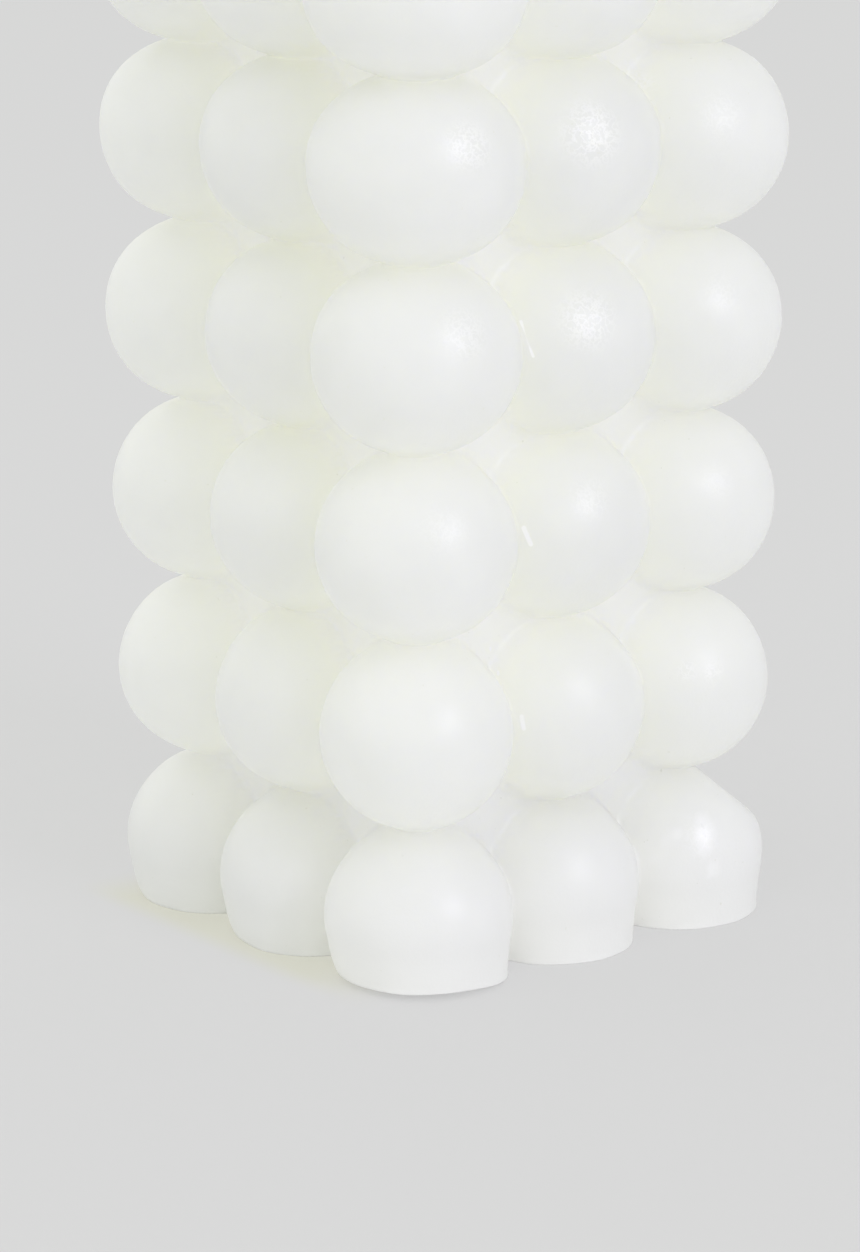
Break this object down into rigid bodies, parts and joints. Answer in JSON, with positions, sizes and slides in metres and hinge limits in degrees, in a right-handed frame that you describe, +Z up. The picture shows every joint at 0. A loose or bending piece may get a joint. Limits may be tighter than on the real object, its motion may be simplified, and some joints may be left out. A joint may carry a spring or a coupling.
{
  "type": "square bubble candle",
  "caption": "Square pillar candle of pale cast wax: stacked, softly rounded balls joined in a block, with a braided cotton wick standing out of the middle of the top.",
  "frame": {"origin": "centre of the flat base, on the wick's axis", "axes": "+Z up along the wick, from the base to the top; +X and -Y out of the two faces that the picture shows, which meet at its front corner"},
  "size_m": [0.0718, 0.0718, 0.1508],
  "materials": {
    "wax": "translucent cast wax with a soft sheen",
    "cotton": "braided cotton, primed with wax"
  },
  "bodies": {
    "root": {"wax_body": "wax", "wick": "cotton"}
  },
  "joints": []
}
